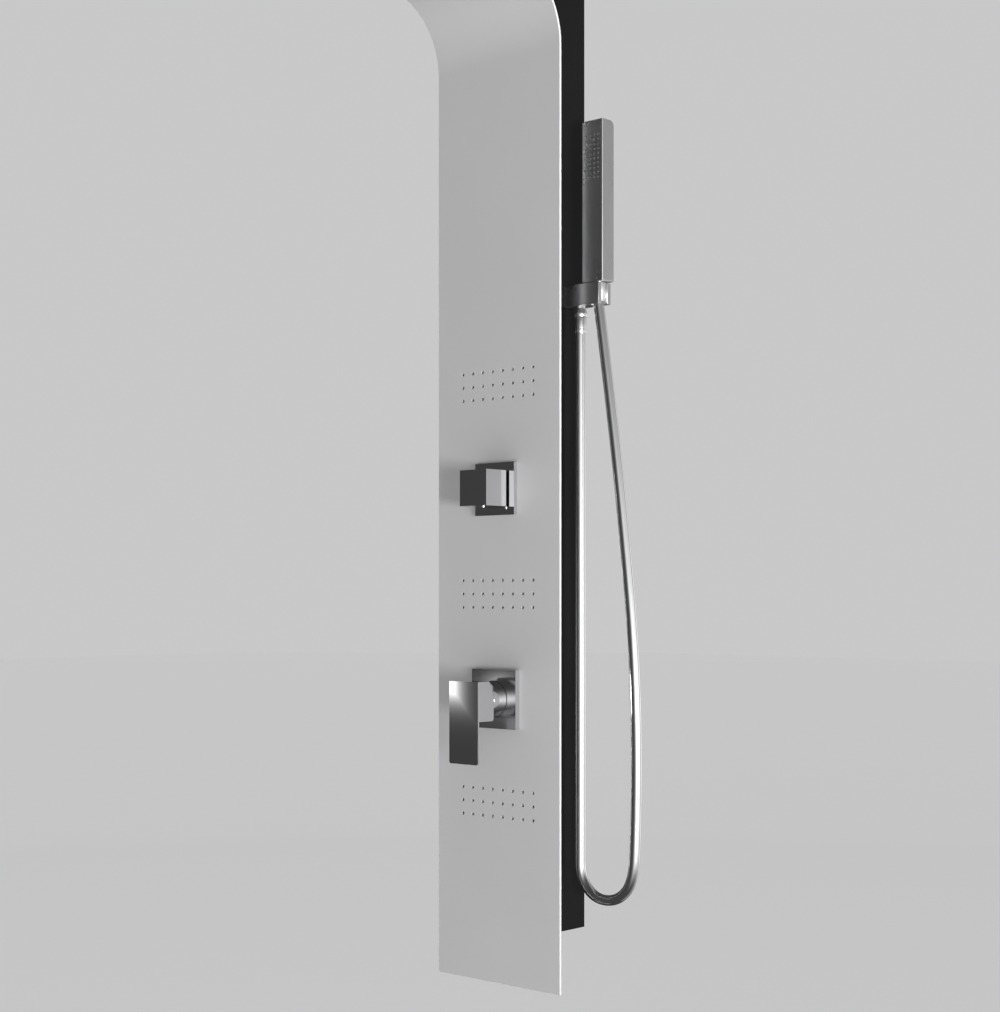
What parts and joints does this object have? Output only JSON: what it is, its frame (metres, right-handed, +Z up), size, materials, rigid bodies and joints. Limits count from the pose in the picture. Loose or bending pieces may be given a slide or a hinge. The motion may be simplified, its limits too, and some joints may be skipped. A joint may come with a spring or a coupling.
{
  "type": "shower panel column",
  "caption": "Wall shower panel: bent metal front on a black chassis, overhead spray, body jets, lever mixer, diverter knob, stick handset on a hose.",
  "frame": {"origin": "centre of the lower wall bracket's back face, on the wall plane and the panel's centre line", "axes": "+Z up, +Y into the wall, +X to the handset side as seen by the user"},
  "size_m": [0.2949, 0.42, 1.24],
  "materials": {
    "panel_metal": "satin, brushed lengthwise",
    "black_paint": "satin powder coat",
    "bracket_steel": "plain",
    "silicone": "soft silicone",
    "moulded_white": "moulded",
    "cast_brass": "cast and machined",
    "dark_chrome": "polished",
    "black_rubber": "matt",
    "pipe_steel": "drawn tube",
    "hose_chrome": "smooth bright outer tube"
  },
  "bodies": {
    "root": {"front_panel": "panel_metal", "chassis": "black_paint", "overhead_cover": "black_paint", "panel_nuts": "bracket_steel", "wall_bracket_lower": "bracket_steel", "wall_bracket_upper": "bracket_steel", "hanger_bar_lower": "bracket_steel", "hanger_bar_upper": "bracket_steel", "rain_nozzles": "silicone", "jet_nozzles_lower": "silicone", "jet_nozzles_middle": "silicone", "jet_nozzles_upper": "silicone", "rain_chamber": "moulded_white", "jet_manifold_lower": "moulded_white", "jet_manifold_middle": "moulded_white", "jet_manifold_upper": "moulded_white", "mixer_cartridge": "moulded_white", "diverter_cartridge": "moulded_white", "inlet_check_valves": "moulded_white", "mixer_body": "cast_brass", "inlet_tail_hot": "cast_brass", "inlet_tail_cold": "cast_brass", "cartridge_nut": "cast_brass", "diverter_body": "cast_brass", "bracket_nut": "cast_brass", "outlet_nipple": "cast_brass", "mixer_sleeve": "dark_chrome", "mixer_plate": "dark_chrome", "diverter_plate": "dark_chrome", "outlet_bracket": "dark_chrome", "hose_nut": "dark_chrome", "hose_sleeve": "dark_chrome", "mixer_plate_seal": "black_rubber", "hose_washer": "black_rubber", "feed_pipe": "pipe_steel", "jet_riser": "pipe_steel", "rain_pipe": "pipe_steel", "handset_pipe": "pipe_steel", "hose": "hose_chrome"},
    "hose_end": {"hose_cone_nut": "dark_chrome", "handset_washer": "black_rubber"},
    "handset": {"handset_shell": "dark_chrome", "handset_nozzles": "silicone", "handset_waterway": "moulded_white", "handset_connector": "cast_brass"},
    "mixer_spindle": {"cartridge_spindle": "cast_brass", "lever_pin": "bracket_steel"},
    "mixer_lever": {"lever_stem": "cast_brass", "handle": "dark_chrome", "handle_grub_screw": "bracket_steel"},
    "diverter_control": {"diverter_stem": "cast_brass", "diverter_knob": "dark_chrome", "knob_grub_screw": "bracket_steel"}
  },
  "joints": [
    {"name": "temperature_turn", "type": "hinge", "parent": "root", "child": "mixer_spindle", "pos_m": [0, -0.082, 0.207], "axis": [0, 1, 0], "range_deg": [-45, 45]},
    {"name": "flow_lift", "type": "hinge", "parent": "mixer_spindle", "child": "mixer_lever", "pos_m": [0, -0.082, 0.207], "axis": [-1, 0, 0], "range_deg": [0, 17]},
    {"name": "diverter_turn", "type": "hinge", "parent": "root", "child": "diverter_control", "pos_m": [0, -0.08, 0.4626], "axis": [0, 1, 0], "range_deg": [-90, 90]},
    {"name": "handset_lift", "type": "slide", "parent": "root", "child": "hose_end", "axis": [0, 0, 1], "range_m": [0, 0.035]},
    {"name": "handset_swivel", "type": "hinge", "parent": "hose_end", "child": "handset", "pos_m": [0.131, -0.0265, 0.7], "axis": [0, 0, 1], "range_deg": [-180, 180]}
  ]
}
